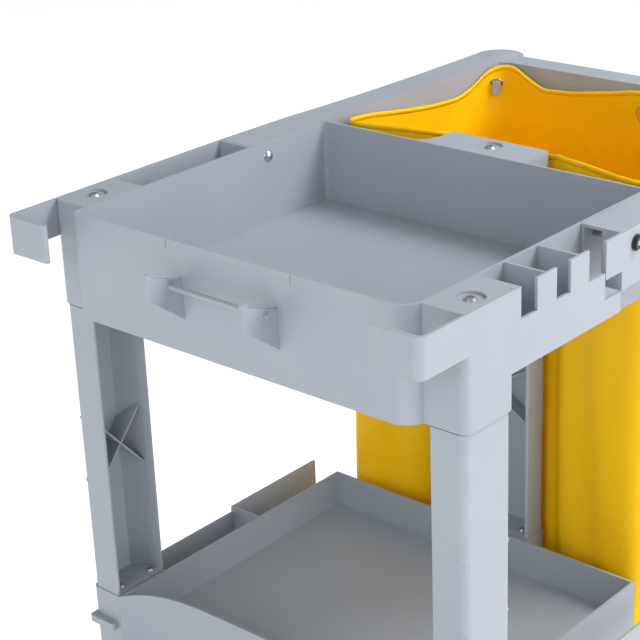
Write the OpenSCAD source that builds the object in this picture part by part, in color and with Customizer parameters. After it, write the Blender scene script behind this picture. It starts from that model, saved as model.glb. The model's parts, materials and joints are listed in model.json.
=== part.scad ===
// Housekeeping cart: two moulded trays and a base deck on six channel posts, a bag frame that
// doubles as the push handle, a hung waste bag, two swivel casters in front and two large rear
// wheels on a steel axle. +X runs from the bucket deck to the handle, +Z is up, and the origin
// is on the floor under the middle of the cart.

/* [Overall] */
// Overall width across the trays
cart_w = 504; // [504:2:524]
// Height of the top tray's rim above the floor
top_rim = 980; // [950:5:1010]
// Height of the middle tray's rim above the floor
mid_rim = 543; // [520:1:560]
// Distance from the origin to the front edge of the base deck
front_reach = 575; // [560:5:600]

/* [Trays] */
// Wall thickness of the mouldings
wall = 3; // [2.5:0.5:4]
// Clear width inside the basins
basin_w = 408; // [400:2:410]
// Front end of the basins
basin_front = -154; // [-158:1:-150]
// Rear end of the basins
basin_back = 210; // [206:1:212]
// Depth of the top basin
top_depth = 90; // [60:5:100]
// Depth of the middle basin
mid_depth = 42; // [35:1:55]
// How far the middle tray's front wall is set back between the posts
mid_recess = 49; // [30:1:55]

/* [Posts] */
// Length of a corner post along the cart
post_l = 67; // [64:1:68]
// Depth of a corner post across the cart
post_d = 38; // [36:1:39]
// Width of the rear centre post
rear_post_w = 124; // [110:1:124]
// Depth of the rear centre post along the cart
rear_post_d = 34; // [30:1:40]
// How far a post goes up into its socket
tenon = 34; // [24:2:36]

/* [Bag frame] */
// Distance from the origin to the far side of the push handle
handle_reach = 557; // [550:1:560]
// Depth of the frame's skirt
skirt_h = 56; // [40:1:60]
// Thickness of the bag's fabric solid
bag_wall = 3; // [2:0.5:4]
// Height of the bag's bottom above the floor
bag_bottom = 150; // [140:5:300]

/* [Base] */
// Height of the deck's underside
deck_under = 123; // [122.5:0.5:124]
// Height of the rim round the deck
deck_rim = 157; // [150:1:170]
// Half width of the deck
deck_half = 252; // [250:1:252]

/* [Rear wheels] */
// Diameter of a rear wheel
rear_d = 200; // [196:2:204]
// Width of a rear wheel
rear_w = 33; // [30:1:33]
// Position of the axle along the cart
axle_x = 430; // [425:1:435]
// Diameter of the axle
axle_d = 16; // [12:1:18]

/* [Casters] */
// Diameter of a caster wheel
caster_d = 100; // [98:1:100]
// Width of a caster wheel
caster_w = 30; // [24:1:32]
// Position of the casters' swivel axes along the cart
caster_x = -470; // [-472:1:-466]
// Distance of a swivel axis from the cart's middle
caster_y = 172; // [165:1:176]
// Distance of the caster's wheel axle behind the swivel axis
caster_trail = 34; // [30:1:38]

/* [Hidden] */
$fn = 48;
eps = 0.01;
plastic = [0.62, 0.65, 0.70];
rubber = [0.20, 0.21, 0.22];
steel = [0.75, 0.76, 0.78];
half_w = cart_w / 2;
half_basin = basin_w / 2;
basin_out = half_basin + wall;
cap_front = basin_front + 13.5;      // front face of the corner sockets
cap_back = cap_front + 77.5;         // rear end of the caps on top of them
post_x = cap_front + 1;              // front face of the corner posts
post_y = half_w - 2 - post_d;        // their open side
screw_x = post_x + post_l / 2;
screw_y = post_y + post_d / 2;
socket_back = post_x + post_l + 1.5; // rear face of the corner sockets
boss_front = basin_back + wall;      // the rear centre socket stands behind the basin
boss_back = boss_front + 46;
boss_half = rear_post_w / 2 + 1.5;
rear_screw_x = boss_back - 3 - rear_post_d / 2;
frame_half = half_w - 2;             // half width of the bag frame's arms
top_skirt = top_rim - 110;           // lower edge of the top tray
mid_skirt = mid_rim - 75;            // lower edge of the middle tray
post_gap = 0.3;                      // clearance of a post in its socket
post_corner = 8;                     // outer corner radius of posts and sockets
upper_foot = mid_rim - wall;         // the upper posts stand here
visible_post = top_skirt - upper_foot;
lower_foot = mid_skirt - visible_post;
deck_top = deck_under + 4;
panel_z = mid_rim - 48;              // lower edge of the middle tray's rear side panels
finger_z = top_rim - 38;             // lower edge of the hooks
low_wall_z = top_rim - 30;           // top of the low wall under the fingers
channel_z = top_rim - 76;            // lower edge of the outer side walls
divider_x = 91;                      // end of the side channels, where the frame's arms begin
arm_x = 95;                          // front end of the frame's arms
nose_x = 68;                         // front end of their outer skirts
frame_bolt_x = 118;
frame_bolt_z = top_rim - 16;
rear_r = rear_d / 2;
caster_r = caster_d / 2;

// A box given by its low and high corners
module box(low, high) { translate(low) cube([high.x - low.x, high.y - low.y, high.z - low.z]); }

// A flat rectangle with round corners
module round_rect(x0, x1, y0, y1, r) {
    translate([x0 + r, y0]) square([x1 - x0 - 2 * r, y1 - y0]);
    translate([x0, y0 + r]) square([x1 - x0, y1 - y0 - 2 * r]);
    for (x = [x0 + r, x1 - r], y = [y0 + r, y1 - r]) translate([x, y]) circle(r);
}

// A round bar or bore along Y
module along_y(x, y0, y1, z, r) { translate([x, y1, z]) rotate([90, 0, 0]) cylinder(r = r, h = y1 - y0); }

// A flat outline in the XZ plane, thick along Y from y0 to y1
module slab_y(y0, y1) { translate([0, y1, 0]) rotate([90, 0, 0]) linear_extrude(y1 - y0) children(); }

// Everything on the left (+Y) side, or its mirror image on the right
module on_side(side) { if (side > 0) children(); else mirror([0, 1, 0]) children(); }

// ---- posts ----

// Outer plan of a post, well rounded on the side that faces out of the cart, moved inwards by e
module post_outline(l, d, e) {
    round_rect(e, l - e, e, d - e, post_corner);
    round_rect(e, l - e, e, d - 12, 2);
}

// Plan of a corner post: a channel open towards the middle of the cart, with broad inner fillets
module post_plan(l, d) {
    difference() {
        post_outline(l, d, 0);
        polygon([[wall, -1], [l - wall, -1], [l - wall, d - 22], [l - 17, d - wall],
                 [17, d - wall], [wall, d - 22]]);
    }
}

// A post of length l and depth d, standing on z = 0 with its open side towards -Y
module post(l, d, h) {
    mid = h / 2;
    brace = 38;
    groove = 1.5;
    difference() {
        union() {
            linear_extrude(h - groove) post_plan(l, d);
            linear_extrude(wall) post_outline(l, d, 0);
            translate([0, 0, h - 2 * wall]) linear_extrude(2 * wall - groove) post_outline(l, d, 0);
            // the tenon starts below a shadow groove under the socket
            translate([0, 0, h - 2 * wall]) linear_extrude(2 * wall) post_outline(l, d, 2);
            translate([1, 1, h - eps]) linear_extrude(tenon) difference() {
                round_rect(0, l - 2, 0, d - 2, post_corner - 1);
                round_rect(wall, l - 2 - wall, wall, d - 2 - wall, 3);
            }
            translate([l / 2, d / 2, h]) cylinder(r = 9, h = tenon);
            intersection() {
                slab_y(13, d - 2) for (s = [-1, 1])
                    translate([l / 2, mid]) rotate(s * atan2(brace * 2, l)) square([2 * l, 2], center = true);
                translate([1, 0, mid - brace]) cube([l - 2, d, 2 * brace]);
            }
        }
        translate([l / 2, d / 2, h - 40]) cylinder(r = 2.6, h = tenon + 60);
        for (x = [12, l - 12]) translate([x, 9, -1]) cylinder(r = 2.2, h = 8);
    }
}

module corner_post(side, foot) {
    on_side(side) translate([post_x, post_y, foot]) post(post_l, post_d, visible_post);
}

// The rear post opens towards the front of the cart
module rear_post(foot) {
    translate([boss_back - 3 - rear_post_d, rear_post_w / 2, foot]) rotate(-90)
        post(rear_post_w, rear_post_d, visible_post);
}

module upper_post_left() color(plastic) corner_post(1, upper_foot);
module upper_post_right() color(plastic) corner_post(-1, upper_foot);
module upper_post_rear() color(plastic) rear_post(upper_foot);
module lower_post_left() color(plastic) corner_post(1, lower_foot);
module lower_post_right() color(plastic) corner_post(-1, lower_foot);
module lower_post_rear() color(plastic) rear_post(lower_foot);

// ---- trays ----

// Sockets that take the posts' upper ends, open underneath, from z0 up to the rim
module sockets(z0, z1) {
    for (s = [1, -1]) on_side(s) difference() {
        translate([0, 0, z0]) linear_extrude(z1 - z0) {
            round_rect(cap_front, socket_back, half_basin + 0.5, half_w, post_corner);
            round_rect(cap_front, socket_back, half_basin + 0.5, half_w - 12, 3);
        }
        translate([0, 0, z0 - 1]) linear_extrude(z1 - z0 - 3)
            round_rect(post_x + 1 - post_gap, post_x + post_l - 1 + post_gap, post_y + 1 - post_gap, half_w - 3 + post_gap,
                       post_corner - 1 + post_gap);
        translate([screw_x, screw_y, z1 - 5]) cylinder(r = 3.2, h = 9);
    }
    difference() {
        translate([0, 0, z0]) linear_extrude(z1 - z0)
            polygon([[boss_front - eps, boss_half + 16], [boss_front + 8, boss_half + 6],
                     [boss_front + 22, boss_half], [boss_back - 9, boss_half], [boss_back - 2.6, boss_half - 2.6],
                     [boss_back, boss_half - 9], [boss_back, 9 - boss_half], [boss_back - 2.6, 2.6 - boss_half],
                     [boss_back - 9, -boss_half], [boss_front - eps, -boss_half]]);
        box([boss_back - 2.3 - rear_post_d, 2.2 - boss_half, z0 - 1], [boss_back - 3.7, boss_half - 2.2, z1 - 4]);
        translate([rear_screw_x, 0, z1 - 5]) cylinder(r = 3.2, h = 9);
    }
}

// Round recesses over the three long screws
module screw_recesses() {
    for (s = [1, -1])
        translate([screw_x, s * screw_y, top_rim - 2.6]) cylinder(r = 13.5, h = 5);
    translate([rear_screw_x, 0, top_rim - 2.6]) cylinder(r = 13.5, h = 5);
}

// Plan of the top basin: square corners, but well rounded at the front right
module basin_plan(inset) {
    x0 = basin_front - wall + inset;
    x1 = basin_back + wall - inset;
    y1 = basin_out - inset;
    r = 22 - inset;
    difference() {
        round_rect(x0, x1, -y1, y1, 5);
        translate([x0 - 1, -y1 - 1]) square(r + 1);
    }
    translate([x0 + r, -y1 + r]) circle(r);
}

// Outer side wall with the hook in front of the socket
module hook_side(x_end) {
    hook_x = cap_front - 60.5;
    box([cap_front + 12, half_w - wall, channel_z], [x_end, half_w, top_rim]);
    box([socket_back - eps, basin_out - eps, channel_z], [cap_back, half_w, top_rim]);
    translate([0, 0, finger_z]) linear_extrude(top_rim - finger_z) {
        difference() {
            round_rect(hook_x, cap_front + 20, half_basin + 3, half_w, 9);
            round_rect(hook_x + 6, cap_front + 40, half_basin - 20, half_w - wall, 5);
            translate([hook_x + 5, half_basin - 21]) square([70, 30]);
        }
        translate([hook_x, half_basin - 4]) square([6, 18]);
        translate([hook_x + 3, half_basin - 4]) circle(3);
    }
}

// Hooked arms and their cross rod seat on the front wall
module front_bracket(y) {
    front = basin_front - wall;
    difference() {
        slab_y(y - 1.6, y + 1.6) polygon([[front + 1, top_rim - 36], [front - 39, top_rim - 22],
                                          [front - 39, top_rim - 46], [front + 1, top_rim - 76]]);
        along_y(rod_x, y - 5, y + 5, rod_z, 2.5);
    }
    box([front - 44, y - 2.6, top_rim - 44], [front - 39 + eps, y + 2.6, top_rim - 18]);
}
finger_x = [-24, 26.5];
rod_x = basin_front - wall - 17;
rod_z = top_rim - 37;
bracket_y = [61, -58];

module top_tray() color(plastic) difference() {
    union() {
        difference() {
            translate([0, 0, top_skirt]) linear_extrude(top_rim - top_skirt) basin_plan(0);
            translate([0, 0, top_rim - top_depth]) linear_extrude(top_depth + 1) basin_plan(wall);
            translate([0, 0, top_skirt - 1]) linear_extrude(111 - top_depth - wall) basin_plan(wall);
        }
        sockets(top_skirt, top_rim);
        // left side: one long pocket between the walls
        hook_side(divider_x + 2);
        box([divider_x, basin_out - eps, channel_z], [divider_x + wall, half_w, top_rim]);
        // right side: a low outer wall with two T-shaped fingers above it
        mirror([0, 1, 0]) {
            hook_side(cap_back);
            box([cap_back - eps, half_w - wall, channel_z], [nose_x - 1, half_w, low_wall_z]);
            box([nose_x - 2, half_w - wall, channel_z], [arm_x - 1, half_w, top_rim - skirt_h]);
            for (x = finger_x) box([x - 1.5, basin_out - eps, channel_z], [x + 1.5, half_w - eps, top_rim]);
            for (x = finger_x) box([x - 15, half_w - wall, low_wall_z - 5], [x + 14, half_w, top_rim]);
        }
        for (y = bracket_y) front_bracket(y);
    }
    screw_recesses();
    for (s = [1, -1]) along_y(frame_bolt_x, s * basin_out - 6, s * basin_out + 6, frame_bolt_z, 3.2);
    // shallow parting lines in the front wall
    for (y = [78, -76]) box([basin_front - wall - 1, y - 0.6, top_rim - 10], [basin_front - wall + 0.5, y + 0.6, top_rim + 1]);
}

// Front wall of the middle tray: swept back between the posts
function mid_front(y) = basin_front + 3 + (mid_recess - 3) * (1 - exp(-(214 - abs(y)) / 27));
mid_steps = 36;
module mid_plan(inset) {
    y1 = basin_out - inset;
    polygon(concat([[basin_back + wall - inset, y1]],
                   [for (i = [0 : mid_steps]) let (y = y1 * (1 - 2 * i / mid_steps)) [mid_front(y) - wall + inset, y]],
                   [[basin_back + wall - inset, -y1]]));
}

module mid_tray() color(plastic) difference() {
    union() {
        difference() {
            translate([0, 0, mid_skirt]) linear_extrude(mid_rim - mid_skirt) mid_plan(0);
            translate([0, 0, mid_rim - mid_depth]) linear_extrude(mid_depth + 1) mid_plan(wall);
            translate([0, 0, mid_skirt - 1]) linear_extrude(76 - mid_depth - wall) mid_plan(wall);
        }
        sockets(mid_skirt, upper_foot);
        for (s = [1, -1]) on_side(s) {
            box([socket_back - eps, half_w - wall, mid_skirt + 20], [divider_x - 14, half_w, mid_rim - 9]);
            box([divider_x - 14 - eps, half_w - wall, panel_z], [basin_back + 10, half_w, mid_rim - 2]);
            box([divider_x - 16, basin_out - eps, mid_skirt + 20], [divider_x - 13, half_w, mid_rim - 2]);
            // flange round the lower half of the corner socket
            translate([0, 0, mid_rim - 44]) linear_extrude(8) difference() {
                round_rect(cap_front - 8, socket_back + 3, half_basin + 12, half_w, 3);
                round_rect(cap_front + 1, socket_back - 1, half_basin - 10, half_w - 1.5, post_corner);
            }
        }
    }
    // screw pilot holes under the feet of the upper posts
    foot_holes(upper_foot - 9, 1.8);
}

// Positions of the two foot screws in each post
module foot_holes(z, r, h = 10) {
    for (s = [1, -1], x = [12, post_l - 12])
        translate([post_x + x, s * (post_y + 9), z]) cylinder(r = r, h = h);
    for (s = [1, -1])
        translate([boss_back - 3 - rear_post_d + 9, s * (rear_post_w / 2 - 12), z]) cylinder(r = r, h = h);
}

// ---- base ----

guard_y = 203;                       // outer face of the guards inside the rear wheels
module deck_plan(inset) {
    difference() {
        round_rect(-front_reach + inset, handle_reach - inset, -deck_half + inset, deck_half - inset, 26 - inset);
        for (s = [1, -1]) on_side(s)
            translate([axle_x - rear_r - 16 - inset, guard_y - inset]) square([2 * rear_r + 32 + 2 * inset, 80]);
    }
}

module base_deck() color(plastic) difference() {
    union() {
        difference() {
            translate([0, 0, deck_under - 17]) linear_extrude(deck_rim - deck_under + 17) deck_plan(0);
            translate([0, 0, deck_top]) linear_extrude(100) deck_plan(3.5);
            translate([0, 0, deck_under - 20]) linear_extrude(20) deck_plan(3.5);
        }
        // low walls between bucket deck, lower tray and bag deck
        for (x = [basin_front - 14, basin_back]) box([x, -deck_half + 2, deck_top - eps], [x + 4, deck_half - 2, deck_rim]);
        // seats for the lower posts
        for (s = [1, -1]) on_side(s)
            box([cap_front - 1, half_basin, deck_top - eps], [socket_back + 1, deck_half - 1, lower_foot]);
        box([boss_front + 1.5, -boss_half, deck_top - eps], [boss_back, boss_half, lower_foot]);
        // raised stand for the bucket
        translate([0, 0, deck_top - eps]) linear_extrude(3) round_rect(-540, -300, -125, 125, 12);
        // arched guards inside the rear wheels
        for (s = [1, -1]) on_side(s) slab_y(guard_y - 3.5, guard_y) difference() {
            union() {
                translate([axle_x, rear_r]) circle(rear_r + 12);
                translate([axle_x - rear_r - 16, deck_under - 17]) square([2 * rear_r + 32, deck_rim - deck_under + 17]);
            }
            translate([axle_x - 200, -100]) square([400, 100 + deck_under - 17]);
        }
        // stiffening ribs under the deck
        for (y = [-90, 0, 90]) box([-front_reach + 3, y - 1.5, deck_under - 13], [handle_reach - 3, y + 1.5, deck_under + eps]);
        for (x = [-250, 280]) box([x - 1.5, -200, deck_under - 13], [x + 1.5, 200, deck_under + eps]);
    }
    // notches that let the lower posts stand in the rim
    for (s = [1, -1]) on_side(s)
        box([post_x - 0.3, half_basin, lower_foot], [post_x + post_l + 0.3, deck_half + 1, deck_rim + 1]);
    along_y(axle_x, -240, 240, rear_r, axle_d / 2 + 0.1);
    foot_holes(lower_foot - 9, 1.8);
    at_caster_holes() translate([0, 0, deck_under - 20]) cylinder(r = 3.3, h = 40);
}

// The four fixing holes of each caster
module at_caster_holes() {
    for (s = [1, -1], x = [-43, 43], y = [-32, 32]) translate([caster_x + x, s * caster_y + y, 0]) children();
}

// ---- fasteners ----

// Pan head on z = 0 with a cross recess, shank below
module pan_screw(head_r, head_h, shank_r, shank_h) {
    difference() {
        cylinder(r1 = head_r, r2 = head_r * 0.72, h = head_h);
        for (a = [0, 90]) rotate(a) translate([-head_r * 0.5, -0.6, head_h - 1.2]) cube([head_r, 1.2, 2]);
    }
    translate([0, 0, -shank_h]) cylinder(r = shank_r, h = shank_h + eps);
}

module top_screws() color(steel) {
    for (s = [1, -1])
        translate([screw_x, s * screw_y, top_rim - 2.6]) pan_screw(6, 2.4, 2.5, 120);
    translate([rear_screw_x, 0, top_rim - 2.6]) pan_screw(6, 2.4, 2.5, 120);
}

module post_feet_screws(foot) {
    for (s = [1, -1], x = [12, post_l - 12])
        translate([post_x + x, s * (post_y + 9), foot + wall]) pan_screw(4.2, 2.4, 1.8, 10);
    for (s = [1, -1])
        translate([boss_back - 3 - rear_post_d + 9, s * (rear_post_w / 2 - 12), foot + wall])
            pan_screw(4.2, 2.4, 1.8, 10);
}
module foot_screws() color(steel) post_feet_screws(upper_foot);
module base_screws() color(steel) post_feet_screws(lower_foot);

// ---- bag frame ----

// Outline points of one half of the frame, moved inwards by d
function arm_outer(d) = [[arm_x + d, half_w - d], [200, frame_half - 1 - d], [260, frame_half - 6 - d], [340, frame_half - 10 - d],
                         [430, frame_half - 12 - d], [handle_reach - 8, frame_half - 12 - d], [handle_reach - d, frame_half - 22]];
function arm_inner(d) = [[handle_reach - 33 + d, frame_half - 74], [handle_reach - 39 + d, frame_half - 60 + d],
                         [handle_reach - 53 + d, frame_half - 54 + d], [430, frame_half - 51.5 + d], [330, frame_half - 48 + d],
                         [250, frame_half - 45 + d], [basin_back + 5, frame_half - 42.5 + d], [arm_x - d, frame_half - 42.5 + d]];
function flip(points) = [for (i = [len(points) - 1 : -1 : 0]) [points[i].x, -points[i].y]];

bumper_r = 30;
bumper_rise = 3.5;
bumper_y = frame_half - 41;
module frame_band(d_out, d_in) {
    polygon(concat(arm_outer(d_out), flip(arm_outer(d_out)), flip(arm_inner(-d_in)), arm_inner(-d_in)));
    for (s = [1, -1]) translate([handle_reach - 12, s * bumper_y]) circle(bumper_r - d_out);
}

peg_z = top_rim - 29;
// Pegs with upright tongues that carry the bag: place and direction of each, inside the frame
function pegs() = concat([for (s = [1, -1]) [242, s * (frame_half - 45.5), 90 * s]],
                         [for (s = [1, -1]) [handle_reach - 44, s * (frame_half - 57), 45 * s]],
                         [[handle_reach - 34, -20, 0]]);

// Cup for the foot of a mop or broom handle, clipped on the deck under a hook
module mop_cup(side) {
    on_side(side) translate([cap_front - 58, frame_half - 50, deck_top]) difference() {
        cylinder(r = 27, h = 48);
        translate([0, 0, 2]) cylinder(r = 23.5, h = 60);
    }
}
module mop_cup_left() color(plastic) mop_cup(1);
module mop_cup_right() color(plastic) mop_cup(-1);

// Bearing block under the deck that holds one end of the axle
module axle_block(side) {
    on_side(side) difference() {
        box([axle_x - 24, guard_y - 44, rear_r - 20], [axle_x + 24, guard_y - 4, deck_under]);
        along_y(axle_x, guard_y - 50, guard_y, rear_r, axle_d / 2 + 0.05);
    }
}
module axle_block_left() color([0.16, 0.17, 0.18]) axle_block(1);
module axle_block_right() color([0.16, 0.17, 0.18]) axle_block(-1);

module bag_frame() color(plastic) difference() {
    union() {
        difference() {
            translate([0, 0, top_rim - skirt_h]) linear_extrude(skirt_h) frame_band(0, 0);
            translate([0, 0, top_rim - skirt_h - 1]) linear_extrude(skirt_h - 2) frame_band(wall, -wall);
        }
        // round bumpers at the two handle corners
        for (s = [1, -1]) translate([handle_reach - 12, s * bumper_y, top_rim - 1]) rotate_extrude()
            polygon(concat([[0, 0]], [for (i = [8 : -1 : 0]) [bumper_r * i / 8, 1 + bumper_rise * (1 + cos(22.5 * i)) / 2]]));
        for (p = pegs()) translate([p[0], p[1], peg_z]) rotate([0, 0, p[2]]) rotate([0, -96, 0]) {
            translate([0, 0, -5]) cylinder(r = 5, h = 18);
            translate([-5, -5, 13 - eps]) cube([17, 10, 2.5]);
        }
        // nose of the right arm's outer skirt, in line with the fingers
        mirror([0, 1, 0]) box([nose_x, half_w - wall, top_rim - 37], [arm_x + 1, half_w, top_rim]);
    }
    // the inner skirt is cut away where the arms lie beside the tray
    for (s = [1, -1]) {
        on_side(s) box([arm_x + wall, frame_half - 44, top_rim - skirt_h - 1], [boss_front + 4, frame_half - wall, top_rim - wall]);
        along_y(frame_bolt_x, s * half_w - 6, s * half_w + 4, frame_bolt_z, 3.2);
    }
}

module frame_bolts() color(steel) for (s = [1, -1]) on_side(s) {
    translate([frame_bolt_x, half_basin, frame_bolt_z]) rotate([90, 0, 0]) {
        intersection() {
            translate([0, 0, -3.4]) sphere(r = 7.4);
            cylinder(r = 6.6, h = 5);
        }
        translate([0, 0, -51]) cylinder(r = 3, h = 51 + eps);
    }
}

module frame_nuts() color([0.07, 0.07, 0.08]) for (s = [1, -1]) on_side(s) difference() {
    translate([frame_bolt_x, half_w - 0.4, frame_bolt_z]) rotate([-90, 0, 0]) {
        cylinder(r = 6.5, h = 4, $fn = 6);
        cylinder(r = 8, h = 1.2);
    }
    along_y(frame_bolt_x, half_w - 1, half_w + 4.2, frame_bolt_z, 3);
}

module bracket_rod() color(steel)
    along_y(rod_x, bracket_y[1] - 6, bracket_y[0] + 6, rod_z, 2.5);

// ---- bag ----

// Plan of the bag: it passes behind the rear socket and post
module bag_plan(d) {
    near = boss_back + 5 + d;
    corner = boss_front + 22 + d;
    far = handle_reach - 40 - d;
    side = frame_half - 53 - d;
    notch = boss_half + 12 + d;
    polygon([[near, notch - 14], [corner, notch], [corner, side], [far - 14, side - 2], [far, side - 14],
             [far, 14 - side], [far - 14, 2 - side], [corner, -side], [corner, -notch], [near, 14 - notch]]);
}

bag_waist = 330;                     // the bag is slimmer below this height
module waste_bag() color([0.98, 0.72, 0.05]) difference() {
    union() {
        translate([0, 0, bag_waist]) linear_extrude(top_rim - 46 - bag_waist) bag_plan(0);
        translate([0, 0, bag_bottom]) linear_extrude(bag_waist - bag_bottom + eps) bag_plan(9);
    }
    translate([0, 0, bag_waist + bag_wall]) linear_extrude(top_rim) bag_plan(bag_wall);
    translate([0, 0, bag_bottom + bag_wall]) linear_extrude(bag_waist) bag_plan(9 + bag_wall);
}

// Chrome eyelets that sit over the pegs
module bag_eyelets() color(steel)
    for (p = pegs()) translate([p[0], p[1], peg_z]) rotate([0, 0, p[2]]) rotate([0, -96, 0])
        translate([0, 0, 9]) difference() {
            cylinder(r = 13.5, h = 2);
            translate([0, 0, -1]) cylinder(r = 7.5, h = 4);
        }

// ---- rear wheels ----

wheel_in = 207;                      // inner face of a rear wheel
wheel_out = wheel_in + rear_w;
axle_half = wheel_out + 7;
core_r = rear_r - 16;

module rear_axle() color(steel) along_y(axle_x, -axle_half, axle_half, rear_r, axle_d / 2);

module ring_y(x, y0, y1, z, r_out, r_in) {
    difference() {
        along_y(x, y0, y1, z, r_out);
        along_y(x, y0 - 1, y1 + 1, z, r_in);
    }
}

module axle_washers() color(steel) for (s = [1, -1]) on_side(s) {
    ring_y(axle_x, guard_y, guard_y + 2.5, rear_r, 15, axle_d / 2);
    ring_y(axle_x, wheel_out + 0.6, wheel_out + 2.2, rear_r, 15, axle_d / 2);
}
module axle_push_nuts() color(steel) for (s = [1, -1]) on_side(s)
    ring_y(axle_x, wheel_out + 2.2, wheel_out + 5, rear_r, 12, axle_d / 2);

module rear_core(side) {
    on_side(side) difference() {
        union() {
            ring_y(axle_x, wheel_in + 1, wheel_out - 1, rear_r, core_r, core_r - 6);
            along_y(axle_x, wheel_in + rear_w / 2 - 2.5, wheel_in + rear_w / 2 + 2.5, rear_r, core_r - 5);
            along_y(axle_x, wheel_in, wheel_out, rear_r, 26);
            for (a = [0 : 30 : 150]) translate([axle_x, 0, rear_r]) rotate([0, a, 0])
                box([5 - core_r, wheel_in + 6, -2], [core_r - 5, wheel_out - 6, 2]);
        }
        along_y(axle_x, wheel_in - 1, wheel_out + 1, rear_r, 12);
        along_y(axle_x, wheel_out - 4, wheel_out + 1, rear_r, 21);
    }
}
module rear_wheel_left() color([0.16, 0.17, 0.18]) rear_core(1);
module rear_wheel_right() color([0.16, 0.17, 0.18]) rear_core(-1);

// Half profile of a tyre with round shoulders, across the wheel
module tyre_profile(r_in, r_out, w, shoulder) {
    translate([r_in, 0]) square([r_out - shoulder - r_in, w]);
    translate([r_in, shoulder]) square([r_out - r_in, w - 2 * shoulder]);
    for (y = [shoulder, w - shoulder]) translate([r_out - shoulder, y]) circle(shoulder);
}
module rear_tyre(side) {
    on_side(side) translate([axle_x, wheel_out, rear_r]) rotate([90, 0, 0])
        rotate_extrude($fn = 96) tyre_profile(core_r, rear_r, rear_w, 6);
}
module rear_tyre_left() color(rubber) rear_tyre(1);
module rear_tyre_right() color(rubber) rear_tyre(-1);

module wheel_bush(side) { on_side(side) ring_y(axle_x, wheel_in - 0.5, wheel_out - 4.5, rear_r, 12, axle_d / 2 + 0.08); }
module wheel_bush_left() color([0.85, 0.85, 0.83]) wheel_bush(1);
module wheel_bush_right() color([0.85, 0.85, 0.83]) wheel_bush(-1);

module hub_cap(side) {
    on_side(side) translate([axle_x, wheel_out - 1, rear_r]) rotate([-90, 0, 0]) difference() {
        union() {
            translate([0, 0, 1]) cylinder(r = 26, h = 1);
            cylinder(r = 20.5, h = 11);
            translate([0, 0, -2.9]) cylinder(r = 20.9, h = 4);
        }
        translate([0, 0, -3]) cylinder(r = 18, h = 12.5);
    }
}
module hub_cap_left() color(plastic) hub_cap(1);
module hub_cap_right() color(plastic) hub_cap(-1);

// ---- casters ----

crown_z = deck_under - 6.5;          // top of the fork's crown
wheel_x = caster_x + caster_trail;

module at_caster(side) { on_side(side) translate([caster_x, caster_y, 0]) children(); }

module caster_plate(side) {
    at_caster(side) difference() {
        translate([0, 0, deck_under - 2.5]) linear_extrude(2.5) round_rect(-55, 55, -43, 43, 8);
        translate([0, 0, deck_under - 10]) cylinder(r = 5.95, h = 20);
        for (x = [-43, 43], y = [-32, 32]) translate([x, y, deck_under - 10]) cylinder(r = 3.3, h = 20);
    }
}
module caster_plate_left() color(steel) caster_plate(1);
module caster_plate_right() color(steel) caster_plate(-1);

// Race that the fork's crown turns against
module caster_race(side) {
    at_caster(side) difference() {
        translate([0, 0, crown_z + 0.3]) cylinder(r = 24, h = deck_under - 2.5 - crown_z - 0.3);
        translate([0, 0, crown_z - 1]) cylinder(r = 17, h = 20);
    }
}
module caster_race_left() color(steel) caster_race(1);
module caster_race_right() color(steel) caster_race(-1);

module caster_kingpin(side) {
    at_caster(side) {
        translate([0, 0, crown_z - 6.4]) cylinder(r = 5.95, h = deck_under - crown_z + 6.4);
        translate([0, 0, crown_z - 6.4]) cylinder(r = 9, h = 3);
    }
}
module caster_kingpin_left() color(steel) caster_kingpin(1);
module caster_kingpin_right() color(steel) caster_kingpin(-1);

leg_y = caster_w / 2 + 2.5;
module caster_fork(side) {
    at_caster(side) difference() {
        union() {
            translate([0, 0, crown_z - 3]) cylinder(r = 27, h = 3);
            translate([0, -leg_y - 3, crown_z - 3]) cube([34, 2 * leg_y + 6, 3]);
            for (y = [-leg_y - 3, leg_y]) slab_y(y, y + 3) {
                polygon([[-16, crown_z], [34, crown_z], [44, crown_z - 12], [caster_trail + 12, caster_r],
                         [caster_trail - 12, caster_r], [-4, crown_z - 34], [-16, crown_z - 12]]);
                translate([caster_trail, caster_r]) circle(12);
            }
        }
        translate([0, 0, crown_z - 10]) cylinder(r = 6.05, h = 20);
        along_y(caster_trail, -40, 40, caster_r, 4.1);
    }
}
module caster_fork_left() color(steel) caster_fork(1);
module caster_fork_right() color(steel) caster_fork(-1);

module caster_axle(side) {
    at_caster(side) {
        along_y(caster_trail, -leg_y - 4, leg_y + 12, caster_r, 4);
        along_y(caster_trail, -leg_y - 8, -leg_y - 3, caster_r, 7);
    }
}
module caster_axle_left() color(steel) caster_axle(1);
module caster_axle_right() color(steel) caster_axle(-1);

module caster_nut(side) {
    at_caster(side) difference() {
        translate([caster_trail, leg_y + 3, caster_r]) rotate([-90, 0, 0]) cylinder(r = 7.5, h = 7, $fn = 6);
        along_y(caster_trail, leg_y, leg_y + 20, caster_r, 4);
    }
}
module caster_nut_left() color(steel) caster_nut(1);
module caster_nut_right() color(steel) caster_nut(-1);

module caster_sleeve(side) { at_caster(side) ring_y(caster_trail, -leg_y, leg_y, caster_r, 6.5, 4.1); }
module caster_sleeve_left() color(steel) caster_sleeve(1);
module caster_sleeve_right() color(steel) caster_sleeve(-1);

module caster_wheel(side) {
    at_caster(side) difference() {
        union() {
            ring_y(caster_trail, 1 - caster_w / 2, caster_w / 2 - 1, caster_r, caster_r - 9, caster_r - 13);
            along_y(caster_trail, -3, 3, caster_r, caster_r - 12);
            along_y(caster_trail, -caster_w / 2 - 1, caster_w / 2 + 1, caster_r, 13);
        }
        along_y(caster_trail, -caster_w, caster_w, caster_r, 6.56);
    }
}
module caster_wheel_left() color([0.16, 0.17, 0.18]) caster_wheel(1);
module caster_wheel_right() color([0.16, 0.17, 0.18]) caster_wheel(-1);

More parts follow.
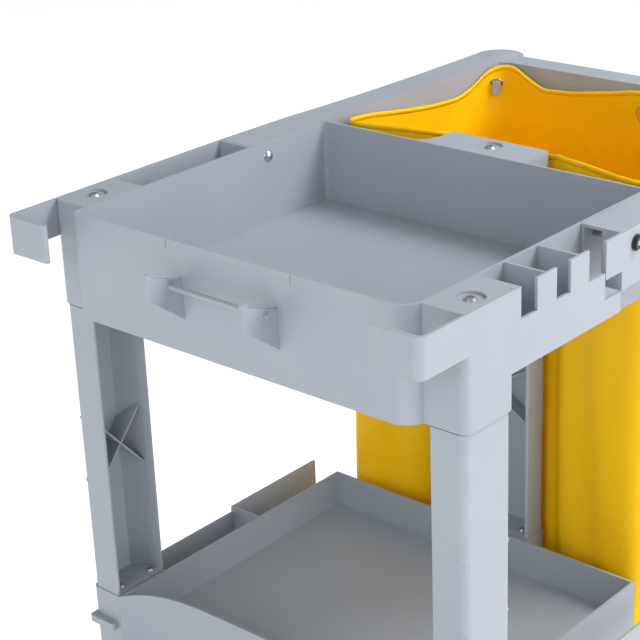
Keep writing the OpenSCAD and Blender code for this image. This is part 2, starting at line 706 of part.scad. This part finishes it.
module caster_tread(side) {
    at_caster(side) translate([caster_trail, caster_w / 2, caster_r]) rotate([90, 0, 0])
        rotate_extrude($fn = 72) tyre_profile(caster_r - 9, caster_r, caster_w, 4);
}
module caster_tread_left() color(rubber) caster_tread(1);
module caster_tread_right() color(rubber) caster_tread(-1);

module caster_screws() color(steel)
    at_caster_holes() translate([0, 0, deck_top]) pan_screw(5.5, 2.5, 3, 12);
module caster_screw_nuts() color(steel)
    at_caster_holes() difference() {
        translate([0, 0, deck_under - 6.5]) cylinder(r = 5.5, h = 4, $fn = 6);
        translate([0, 0, deck_under - 7]) cylinder(r = 3, h = 5);
    }

top_tray();
mid_tray();
base_deck();
upper_post_left();
upper_post_right();
upper_post_rear();
lower_post_left();
lower_post_right();
lower_post_rear();
mop_cup_left();
mop_cup_right();
axle_block_left();
axle_block_right();
bag_frame();
frame_bolts();
frame_nuts();
bracket_rod();
top_screws();
foot_screws();
base_screws();
waste_bag();
bag_eyelets();
rear_axle();
axle_washers();
axle_push_nuts();
rear_wheel_left();
rear_wheel_right();
rear_tyre_left();
rear_tyre_right();
wheel_bush_left();
wheel_bush_right();
hub_cap_left();
hub_cap_right();
caster_plate_left();
caster_plate_right();
caster_race_left();
caster_race_right();
caster_kingpin_left();
caster_kingpin_right();
caster_fork_left();
caster_fork_right();
caster_axle_left();
caster_axle_right();
caster_nut_left();
caster_nut_right();
caster_sleeve_left();
caster_sleeve_right();
caster_wheel_left();
caster_wheel_right();
caster_tread_left();
caster_tread_right();
caster_screws();
caster_screw_nuts();
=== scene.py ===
import json
import math

import bmesh
import bpy
from mathutils import Matrix, Vector, noise

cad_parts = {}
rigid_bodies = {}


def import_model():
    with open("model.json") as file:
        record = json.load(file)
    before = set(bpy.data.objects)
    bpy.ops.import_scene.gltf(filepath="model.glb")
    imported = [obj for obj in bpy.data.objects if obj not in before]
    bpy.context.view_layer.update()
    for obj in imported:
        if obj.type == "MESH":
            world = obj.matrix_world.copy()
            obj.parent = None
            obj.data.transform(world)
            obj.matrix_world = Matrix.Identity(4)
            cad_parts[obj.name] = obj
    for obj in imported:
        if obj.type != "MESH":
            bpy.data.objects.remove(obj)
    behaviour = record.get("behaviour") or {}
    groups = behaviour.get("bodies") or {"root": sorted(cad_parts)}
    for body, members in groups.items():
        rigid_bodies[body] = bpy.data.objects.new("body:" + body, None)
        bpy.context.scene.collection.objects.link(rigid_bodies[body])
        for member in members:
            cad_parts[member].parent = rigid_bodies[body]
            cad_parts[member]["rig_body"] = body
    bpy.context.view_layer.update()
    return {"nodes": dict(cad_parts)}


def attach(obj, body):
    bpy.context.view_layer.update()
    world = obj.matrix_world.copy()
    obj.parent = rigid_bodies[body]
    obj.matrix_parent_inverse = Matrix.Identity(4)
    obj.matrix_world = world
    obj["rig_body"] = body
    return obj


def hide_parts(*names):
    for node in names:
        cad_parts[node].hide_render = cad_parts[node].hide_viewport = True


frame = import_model()


# ---- Studio ----
# A white room with softboxes on the cart's right, in front of it and over the bag, and a white
# paper floor that glows a little. The camera looks down over the top tray's front right side.
CAMERA_PLACE, CAMERA_LENS = (-1.1905, -1.0407, 1.5339), 99.12
CAMERA_HEADING, CAMERA_TILT, CAMERA_ROLL = 42.045, -22.902, -2.349


def linear(code):
    """An sRGB hex colour as linear RGBA."""
    channels = [int(code[i:i + 2], 16) / 255 for i in (1, 3, 5)]
    return (*[c / 12.92 if c < 0.04045 else ((c + 0.055) / 1.055) ** 2.4 for c in channels], 1)


def add_node(tree, kind, settings=None, inputs=None):
    """Adds a shader node; an input's value is a plain value or another node's output."""
    made = tree.nodes.new(kind)
    for name, value in (settings or {}).items():
        setattr(made, name, value)
    for name, value in (inputs or {}).items():
        if isinstance(value, bpy.types.NodeSocket):
            tree.links.new(value, made.inputs[name])
        else:
            made.inputs[name].default_value = value
    return made


camera = bpy.data.objects.new("camera", bpy.data.cameras.new("camera"))
bpy.context.scene.collection.objects.link(camera)
bpy.context.scene.camera = camera
camera.data.lens = CAMERA_LENS
camera.data.clip_end = 50
camera.matrix_world = (
    Matrix.Translation(CAMERA_PLACE)
    @ Matrix.Rotation(math.radians(CAMERA_HEADING - 90), 4, "Z")
    @ Matrix.Rotation(math.radians(90 + CAMERA_TILT), 4, "X")
    @ Matrix.Rotation(math.radians(CAMERA_ROLL), 4, "Z")
)

# the room is brightest at the horizon and dimmer overhead
world = bpy.data.worlds.new("white_room")
bpy.context.scene.world = world
world.use_nodes = True
room = world.node_tree
direction = add_node(room, "ShaderNodeTexCoord").outputs["Generated"]
height = add_node(room, "ShaderNodeSeparateXYZ", inputs={"Vector": direction}).outputs["Z"]
glow = add_node(room, "ShaderNodeMapRange", inputs={
    "Value": height, "From Min": 0.0, "From Max": 0.25, "To Min": 0.95, "To Max": 0.36})
room.links.new(glow.outputs["Result"], room.nodes["Background"].inputs["Strength"])
room.nodes["Background"].inputs["Color"].default_value = linear("#FFFFFF")
bpy.context.scene.view_settings.view_transform = "Standard"


def softbox(name, place, aim, size, watts):
    """A square area light at place, turned towards aim."""
    lamp = bpy.data.objects.new(name, bpy.data.lights.new(name, "AREA"))
    bpy.context.scene.collection.objects.link(lamp)
    lamp.data.size = size
    lamp.data.energy = watts
    lamp.location = place
    lamp.rotation_mode = "QUATERNION"
    lamp.rotation_quaternion = (Vector(aim) - Vector(place)).to_track_quat("-Z", "Y")


softbox("key", (0.3, -3.3, 1.8), (0.1, 0, 0.6), 2.0, 43)
softbox("front", (-3.2, -0.5, 2.5), (0, 0, 0.8), 1.8, 34)
softbox("low_front", (-3.2, -0.3, 0.9), (0, 0, 0.6), 1.0, 6)
softbox("rear", (0.9, -0.9, 2.3), (0.42, 0, 0.8), 0.8, 28)

bpy.ops.mesh.primitive_plane_add(size=60, location=(0, 0, 0))
floor = bpy.context.active_object
floor.name = "floor"
paper = bpy.data.materials.new("white_paper_floor")
paper.use_nodes = True
sheet = paper.node_tree
spot = add_node(sheet, "ShaderNodeTexCoord").outputs["Object"]
grain = add_node(sheet, "ShaderNodeTexNoise", inputs={"Vector": spot, "Scale": 4.0, "Detail": 3.0})
shade = add_node(sheet, "ShaderNodeMix", {"data_type": "RGBA"}, {
    "Factor": grain.outputs["Fac"], "A": linear("#ECECEC"), "B": linear("#F0F0F0")})
matt = sheet.nodes["Principled BSDF"]
sheet.links.new(shade.outputs["Result"], matt.inputs["Base Color"])
matt.inputs["Roughness"].default_value = 0.9
matt.inputs["Emission Color"].default_value = linear("#FFFFFF")
matt.inputs["Emission Strength"].default_value = 0.64
floor.data.materials.append(paper)


# ---- Trays and base deck ----
# Blue-grey polypropylene, injection moulded in one piece each. The mould leaves small round
# edges, a fine spark-eroded satin and faint flow clouds.
def mottled(name, colours, roughness, clouds, grain, **skin):
    """A material whose colour and roughness drift in soft clouds, under a fine raised grain.

    colours and roughness are the two ends of the drift, and clouds is its noise scale and
    detail. grain is the grain's size in metres, detail, strength and depth. skin holds plain
    inputs of the shader.
    """
    made = bpy.data.materials.new(name)
    made.use_nodes = True
    tree = made.node_tree
    shader = tree.nodes["Principled BSDF"]
    for setting, value in skin.items():
        shader.inputs[setting].default_value = value
    place = add_node(tree, "ShaderNodeTexCoord").outputs["Object"]
    cloud_scale, cloud_detail = clouds
    drift = add_node(tree, "ShaderNodeTexNoise", inputs={
        "Vector": place, "Scale": cloud_scale, "Detail": cloud_detail})
    tint = add_node(tree, "ShaderNodeMix", {"data_type": "RGBA"}, {
        "Factor": drift.outputs["Fac"], "A": linear(colours[0]), "B": linear(colours[1])})
    tree.links.new(tint.outputs["Result"], shader.inputs["Base Color"])
    satin = add_node(tree, "ShaderNodeMapRange", inputs={
        "Value": drift.outputs["Fac"], "To Min": roughness[0], "To Max": roughness[1]})
    tree.links.new(satin.outputs["Result"], shader.inputs["Roughness"])
    grain_size, grain_detail, strength, depth = grain
    pores = add_node(tree, "ShaderNodeTexNoise", inputs={
        "Vector": place, "Scale": 1 / grain_size, "Detail": grain_detail})
    bump = add_node(tree, "ShaderNodeBump", inputs={
        "Height": pores.outputs["Fac"], "Strength": strength, "Distance": depth})
    tree.links.new(bump.outputs["Normal"], shader.inputs["Normal"])
    return made


def select_only(piece):
    """Makes piece the one selected and active object."""
    bpy.ops.object.select_all(action="DESELECT")
    piece.hide_set(False)
    piece.select_set(True)
    bpy.context.view_layer.objects.active = piece


def rounded_copy(node, edge, material):
    """A copy of a CAD node with round edges, which rides on the node's body in its place."""
    source = frame["nodes"][node]
    piece = bpy.data.objects.new(node + "_rounded", source.data.copy())
    bpy.context.scene.collection.objects.link(piece)
    select_only(piece)
    bpy.ops.object.mode_set(mode="EDIT")
    bpy.ops.mesh.select_all(action="SELECT")
    bpy.ops.mesh.remove_doubles(threshold=0.00001)
    bpy.ops.mesh.dissolve_limited(angle_limit=math.radians(1))
    bpy.ops.object.mode_set(mode="OBJECT")
    soft = piece.modifiers.new("round_edges", "BEVEL")
    soft.width = edge
    soft.segments = 2
    soft.limit_method = "ANGLE"
    soft.angle_limit = math.radians(40)
    bpy.ops.object.modifier_apply(modifier="round_edges")
    bpy.ops.object.shade_smooth_by_angle(angle=math.radians(35))
    flats = piece.modifiers.new("flat_faces", "WEIGHTED_NORMAL")
    flats.keep_sharp = True
    bpy.ops.object.modifier_apply(modifier="flat_faces")
    piece.data.materials.clear()
    piece.data.materials.append(material)
    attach(piece, source["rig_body"])
    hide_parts(node)
    return piece


# moulded polypropylene has soft wide highlights and a slightly uneven colour; its spark-eroded
# grain is about 0.1 mm, drawn at 0.6 mm so that it shows
POLYPROPYLENE = mottled(
    "moulded_polypropylene", ("#9AA1AB", "#A4ABB4"), (0.40, 0.50),
    clouds=(9.0, 3.0), grain=(0.0006, 2.0, 0.12, 0.0002), IOR=1.49)
for tray in ("top_tray", "mid_tray", "base_deck"):
    rounded_copy(tray, 0.0008, POLYPROPYLENE)


# ---- Posts ----
# Six channel posts of the same polypropylene, braced by an X of thin ribs. Each stands with two
# foot screws on the tray below and goes up into a socket of the tray above.
for level in ("upper", "lower"):
    for corner in ("left", "right", "rear"):
        rounded_copy(f"{level}_post_{corner}", 0.0006, POLYPROPYLENE)


# ---- Bag frame and push handle ----
# One hollow-backed polypropylene moulding, bolted through the top tray's sides with domed bolts
# and black nylon nuts. The hooked arms' rod and the mop cups are of the same plastic.
def plated_steel(name, colour, roughness):
    """Plated steel: bright, with a faint drawn grain that breaks up its reflections."""
    # drawing marks are about 0.1 mm apart; drawn at 0.4 mm so that they show
    return mottled(
        name, (colour, "#C9CBCE"), (roughness - 0.05, roughness + 0.1),
        clouds=(120.0, 4.0), grain=(0.0004, 2.0, 0.15, 0.0001), Metallic=1.0)


def moulded_nylon(name, dark, light, roughness):
    """Moulded nylon: an even colour with a slightly orange-peeled satin skin."""
    # orange peel of about 0.8 mm
    return mottled(
        name, (dark, light), (roughness - 0.06, roughness + 0.06),
        clouds=(40.0, 3.0), grain=(0.0008, 1.0, 0.1, 0.0002), IOR=1.53)


rounded_copy("bag_frame", 0.0008, POLYPROPYLENE)
for cup in ("mop_cup_left", "mop_cup_right"):
    rounded_copy(cup, 0.0006, POLYPROPYLENE)
rounded_copy("bracket_rod", 0.0004, POLYPROPYLENE)
BRIGHT_STEEL = plated_steel("nickel_plated_steel", "#B4B6B9", 0.3)
BLACK_NYLON = moulded_nylon("black_moulded_nylon", "#17181A", "#232527", 0.42)
rounded_copy("frame_bolts", 0.0003, BRIGHT_STEEL)
rounded_copy("frame_nuts", 0.0004, BLACK_NYLON)


# ---- Screws ----
# Three long pan-head screws hold the top tray down through the posts, in round recesses, and
# two short ones hold each post's foot. All are zinc plated and dull.
ZINC_STEEL = plated_steel("zinc_plated_steel", "#8F9296", 0.42)
for screws in ("top_screws", "foot_screws", "base_screws"):
    rounded_copy(screws, 0.00025, ZINC_STEEL)


# ---- Waste bag ----
# Amber vinyl-coated polyester welded into a deep sack, hung by five eyelets on pegs inside the
# frame. Its rolled edge sags between the pegs, and the empty bag hangs in soft upright folds.
HEM_SIDE = [
    (0.266, 0.000, 0.970), (0.266, 0.060, 0.974), (0.254, 0.077, 0.979), (0.243, 0.119, 0.980),
    (0.236, 0.150, 0.979), (0.232, 0.182, 0.978), (0.241, 0.195, 0.977), (0.285, 0.199, 0.972),
    (0.340, 0.1975, 0.963), (0.395, 0.1955, 0.956), (0.442, 0.194, 0.954), (0.468, 0.1935, 0.960),
    (0.486, 0.194, 0.968), (0.501, 0.190, 0.977), (0.512, 0.179, 0.981), (0.514, 0.163, 0.980),
    (0.514, 0.145, 0.969), (0.514, 0.122, 0.958), (0.514, 0.080, 0.961)]
HEM_FAR = [
    (0.514, 0.030, 0.969), (0.514, -0.005, 0.976), (0.514, -0.035, 0.976), (0.514, -0.055, 0.968)]
COLUMNS, ROWS, RINGS = 128, 72, 10
BAG_HEIGHT, BAG_FLOOR, BAG_MIDDLE = 0.815, 0.165, Vector((0.385, 0))
DEPTH_STEP = BAG_HEIGHT / ROWS
HEM_DEPTH = DEPTH_STEP / 2
CLOTH_THICK, HEM_THICK = 0.0008, 0.0017
# the folds' distance, depth and lean, and how far the cloth hangs inside its hem's line
FOLD_SPACING, FOLD_DEPTH, FOLD_LEAN, HANG_INSIDE = 0.068, 0.006, 0.35, 0.006
# the bag's lower end is this share narrower than its hem
NARROWING = 0.035
HANG_FRAMES = 36
# how far the bag may go: to the tray's wall, the rear socket, the frame's far wall and the deck
TRAY_WALL, REAR_SOCKET, SOCKET_HALF_WIDTH, FAR_WALL, DECK_TOP = 0.231, 0.263, 0.078, 0.5205, 0.153
# the frame's skirt tapers along its arms, and the guards inside the wheels are closer still
ARM_START, ARM_END, ARM_TAPER = 0.250, 0.43, 0.0375
SKIRT_FRONT, SKIRT_FAR, SKIRT_BOTTOM, SKIRT_WALL = 0.2035, 0.1965, 0.925, 0.008
GUARD_TOP, GUARD_HALF_WIDTH = 0.40, 0.190


def evenly(points, count):
    """count points at equal steps along a closed line, and the line's length in plan."""
    closed = points + points[:1]
    run = [0]
    for a, b in zip(closed, closed[1:]):
        run.append(run[-1] + (b.xy - a.xy).length)
    spread, k = [], 0
    for i in range(count):
        s = run[-1] * i / count
        while run[k + 1] < s:
            k += 1
        spread.append(closed[k].lerp(closed[k + 1], (s - run[k]) / (run[k + 1] - run[k])))
    return spread, run[-1]


def side_limit(x, z):
    """The bag's greatest half width at x and z: inside the frame's skirt and the wheel guards."""
    skirt = SKIRT_FRONT - ARM_TAPER * max(0.0, x - ARM_START) if x < ARM_END else SKIRT_FAR
    below_skirt = min(1.0, max(0.0, (SKIRT_BOTTOM - z) / 0.06))
    low = min(1.0, max(0.0, (GUARD_TOP - z) / 0.07))
    return (skirt + SKIRT_WALL * below_skirt) * (1 - low) + GUARD_HALF_WIDTH * low


def clear_of_frame(p):
    """A point of the bag, moved off the frame, the rear socket and the deck if it is in them."""
    near = REAR_SOCKET if abs(p.y) < SOCKET_HALF_WIDTH else TRAY_WALL
    limit = side_limit(p.x, p.z)
    return Vector((
        min(FAR_WALL, max(near, p.x)), min(limit, max(-limit, p.y)), max(DECK_TOP, p.z)))


def bag_point(i, down, inward):
    """Column i's point a share down of the height; inward draws the floor's rings together."""
    top = hem_points[i]
    along = (hem_points[(i + 1) % COLUMNS].xy - hem_points[i - 1].xy).normalized()
    s = girth * i / COLUMNS
    fold = math.sin(2 * math.pi * (s / FOLD_SPACING + FOLD_LEAN * math.sin(5 * down + 3 * s)))
    fold *= 0.55 + 0.45 * noise.noise(Vector((s * 9, down * 2.2, 1.7)))
    off = min(1.0, down * 8) * (FOLD_DEPTH * fold - HANG_INSIDE)
    plan = top.xy + off * Vector((along.y, -along.x))
    slim = 1 - NARROWING * max(0.0, min(1.0, (down - 0.7) / 0.15))
    plan = BAG_MIDDLE + (plan - BAG_MIDDLE) * slim * inward
    return (*plan, top.z + (BAG_FLOOR - top.z) * down)


def cloth_face(corners, places):
    """A smooth face of the bag; places are its corners' columns and rows on the flat cloth."""
    face = bag_mesh.faces.new(corners)
    face.smooth = True
    for corner, (column, row) in zip(face.loops, places):
        corner[cloth_uv].uv = (girth * column / COLUMNS, row * DEPTH_STEP)


mirrored_side = [(x, -y, z) for x, y, z in HEM_SIDE[:0:-1]]
hem_points, girth = evenly([Vector(p) for p in HEM_SIDE + HEM_FAR + mirrored_side], COLUMNS)
bag_mesh = bmesh.new()
rings = []
for row in range(ROWS + RINGS):
    down = min(1.0, row / ROWS)
    inward = 1 - max(0, row - ROWS) / RINGS
    rings.append([bag_mesh.verts.new(bag_point(i, down, inward)) for i in range(COLUMNS)])
pole = bag_mesh.verts.new((*BAG_MIDDLE, BAG_FLOOR))
# the cloth's own coordinates in metres: u round the bag, v down from the hem and in under it
cloth_uv = bag_mesh.loops.layers.uv.new("cloth")
last = ROWS + RINGS - 1
for row in range(last):
    for i in range(COLUMNS):
        j = (i + 1) % COLUMNS
        cloth_face(
            (rings[row][i], rings[row + 1][i], rings[row + 1][j], rings[row][j]),
            ((i, row), (i, row + 1), (i + 1, row + 1), (i + 1, row)))
for i in range(COLUMNS):
    cloth_face(
        (rings[last][i], pole, rings[last][(i + 1) % COLUMNS]),
        ((i, last), (i + 0.5, last + 1), (i + 1, last)))
bag = bpy.data.objects.new("hanging_bag", bpy.data.meshes.new("hanging_bag"))
bag_mesh.to_mesh(bag.data)
bag_mesh.free()
bpy.context.scene.collection.objects.link(bag)
select_only(bag)

held = bag.vertex_groups.new(name="hem")
held.add(list(range(COLUMNS)), 1.0, "REPLACE")
held.add(list(range(COLUMNS, 2 * COLUMNS)), 0.5, "REPLACE")
hang = bag.modifiers.new("hang", "CLOTH")
vinyl = hang.settings
vinyl.quality = 7
vinyl.mass = 0.00008
vinyl.tension_stiffness = vinyl.compression_stiffness = 25
vinyl.shear_stiffness = 12
vinyl.bending_stiffness = 1.5
vinyl.tension_damping = vinyl.compression_damping = vinyl.shear_damping = 8
vinyl.bending_damping = 0.6
vinyl.air_damping = 2
vinyl.vertex_group_mass = "hem"
hang.collision_settings.use_collision = False
hang.point_cache.frame_end = HANG_FRAMES
for step in range(1, HANG_FRAMES + 1):
    bpy.context.scene.frame_set(step)
bpy.ops.object.modifier_apply(modifier="hang")
bpy.context.scene.frame_set(1)
for vertex in bag.data.vertices:
    vertex.co = clear_of_frame(vertex.co)
smoother = bag.modifiers.new("finer", "SUBSURF")
smoother.levels = smoother.render_levels = 1
bpy.ops.object.modifier_apply(modifier="finer")

# the rolled and welded edge is the cloth's top row of faces, made thicker
hem = bpy.data.objects.new("bag_hem", bag.data.copy())
bpy.context.scene.collection.objects.link(hem)
select_only(hem)
bpy.ops.object.mode_set(mode="EDIT")
bpy.ops.mesh.select_mode(type="FACE")
bpy.ops.mesh.select_all(action="DESELECT")
edited = bmesh.from_edit_mesh(hem.data)
depth = edited.loops.layers.uv["cloth"]
for face in edited.faces:
    face.select_set(min(corner[depth].uv.y for corner in face.loops) > 0.99 * HEM_DEPTH)
bmesh.update_edit_mesh(hem.data)
bpy.ops.mesh.delete(type="FACE")
bpy.ops.object.mode_set(mode="OBJECT")
for cloth, thick in ((bag, CLOTH_THICK), (hem, HEM_THICK)):
    select_only(cloth)
    cloth.vertex_groups.clear()
    body = cloth.modifiers.new("thickness", "SOLIDIFY")
    body.thickness = thick
    body.offset = 0
    bpy.ops.object.modifier_apply(modifier="thickness")


def coated_fabric():
    """Vinyl-coated polyester: saturated amber that lets some light through, with a soft skin."""
    made = bpy.data.materials.new("vinyl_coated_polyester")
    made.use_nodes = True
    tree = made.node_tree
    shader = tree.nodes["Principled BSDF"]
    shader.inputs["IOR"].default_value = 1.5
    shader.inputs["Specular IOR Level"].default_value = 0.2
    shader.inputs["Subsurface Weight"].default_value = 0.3
    shader.inputs["Subsurface Radius"].default_value = (1.0, 0.6, 0.08)
    shader.inputs["Subsurface Scale"].default_value = 0.003
    place = add_node(tree, "ShaderNodeUVMap", {"uv_map": "cloth"}).outputs["UV"]
    body = add_node(tree, "ShaderNodeTexCoord").outputs["Object"]
    clouds = add_node(tree, "ShaderNodeTexNoise", inputs={
        "Vector": body, "Scale": 7.0, "Detail": 4.0})
    tint = add_node(tree, "ShaderNodeMix", {"data_type": "RGBA"}, {
        "Factor": clouds.outputs["Fac"], "A": linear("#FFC000"), "B": linear("#FFCB0A")})
    tree.links.new(tint.outputs["Result"], shader.inputs["Base Color"])
    satin = add_node(tree, "ShaderNodeMapRange", inputs={
        "Value": clouds.outputs["Fac"], "To Min": 0.46, "To Max": 0.6})
    tree.links.new(satin.outputs["Result"], shader.inputs["Roughness"])
    # scrim threads are 1.2 mm apart, and larger soft creases run at random between the folds
    scaled = add_node(tree, "ShaderNodeVectorMath", {"operation": "SCALE"}, {
        "Vector": place, "Scale": 1 / 0.0012})
    weave = add_node(tree, "ShaderNodeTexChecker", inputs={
        "Vector": scaled.outputs["Vector"], "Scale": 1.0})
    creases = add_node(tree, "ShaderNodeTexNoise", inputs={
        "Vector": body, "Scale": 22.0, "Detail": 3.0})
    fine = add_node(tree, "ShaderNodeBump", inputs={
        "Height": weave.outputs["Fac"], "Strength": 0.08, "Distance": 0.0002})
    broad = add_node(tree, "ShaderNodeBump", inputs={
        "Height": creases.outputs["Fac"], "Strength": 0.25, "Distance": 0.004,
        "Normal": fine.outputs["Normal"]})
    tree.links.new(broad.outputs["Normal"], shader.inputs["Normal"])
    return made


VINYL = coated_fabric()
bag.data.materials.append(VINYL)
hem.data.materials.append(VINYL)
for cloth in (bag, hem):
    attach(cloth, "root")
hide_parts("waste_bag")
CHROME = plated_steel("chrome_plated_brass", "#D5D7DA", 0.16)
eyelets = rounded_copy("bag_eyelets", 0.0007, CHROME)


# ---- Rear wheels ----
# Spoked cores of black glass-filled nylon with dark non-marking rubber tyres, turning on nylon
# bushes. The zinc-plated axle runs through two blocks under the deck and ends in push nuts.
WHEEL_NYLON = moulded_nylon("glass_filled_nylon", "#1F2123", "#2C2E31", 0.5)
NATURAL_NYLON = moulded_nylon("natural_nylon", "#D3D3CC", "#DEDED8", 0.45)
# non-marking rubber is dark grey, dull and slightly dusty in its pores, about 0.7 mm across
RUBBER = mottled(
    "non_marking_rubber", ("#35383B", "#45484B"), (0.62, 0.8),
    clouds=(60.0, 5.0), grain=(0.0007, 2.0, 0.2, 0.0003), IOR=1.52)
for side in ("left", "right"):
    rounded_copy("rear_wheel_" + side, 0.0005, WHEEL_NYLON)
    rounded_copy("rear_tyre_" + side, 0.0005, RUBBER)
    rounded_copy("wheel_bush_" + side, 0.0003, NATURAL_NYLON)
    rounded_copy("hub_cap_" + side, 0.0006, POLYPROPYLENE)
    rounded_copy("axle_block_" + side, 0.001, WHEEL_NYLON)
for fixing in ("rear_axle", "axle_washers", "axle_push_nuts"):
    rounded_copy(fixing, 0.0004, ZINC_STEEL)


# ---- Casters ----
# Pressed and zinc-plated forks that turn under riveted plates, each bolted to the deck with
# four screws, with nylon wheels and the same rubber as the rear tyres.
for side in ("left", "right"):
    for part in ("plate", "race", "kingpin", "fork", "axle", "nut", "sleeve"):
        rounded_copy(f"caster_{part}_{side}", 0.0003, ZINC_STEEL)
    rounded_copy("caster_wheel_" + side, 0.0005, WHEEL_NYLON)
    rounded_copy("caster_tread_" + side, 0.0005, RUBBER)
for fixing in ("caster_screws", "caster_screw_nuts"):
    rounded_copy(fixing, 0.00025, ZINC_STEEL)


def corners(pair):
    """Two corner vectors as plain lists."""
    return [list(pair[0]), list(pair[1])]
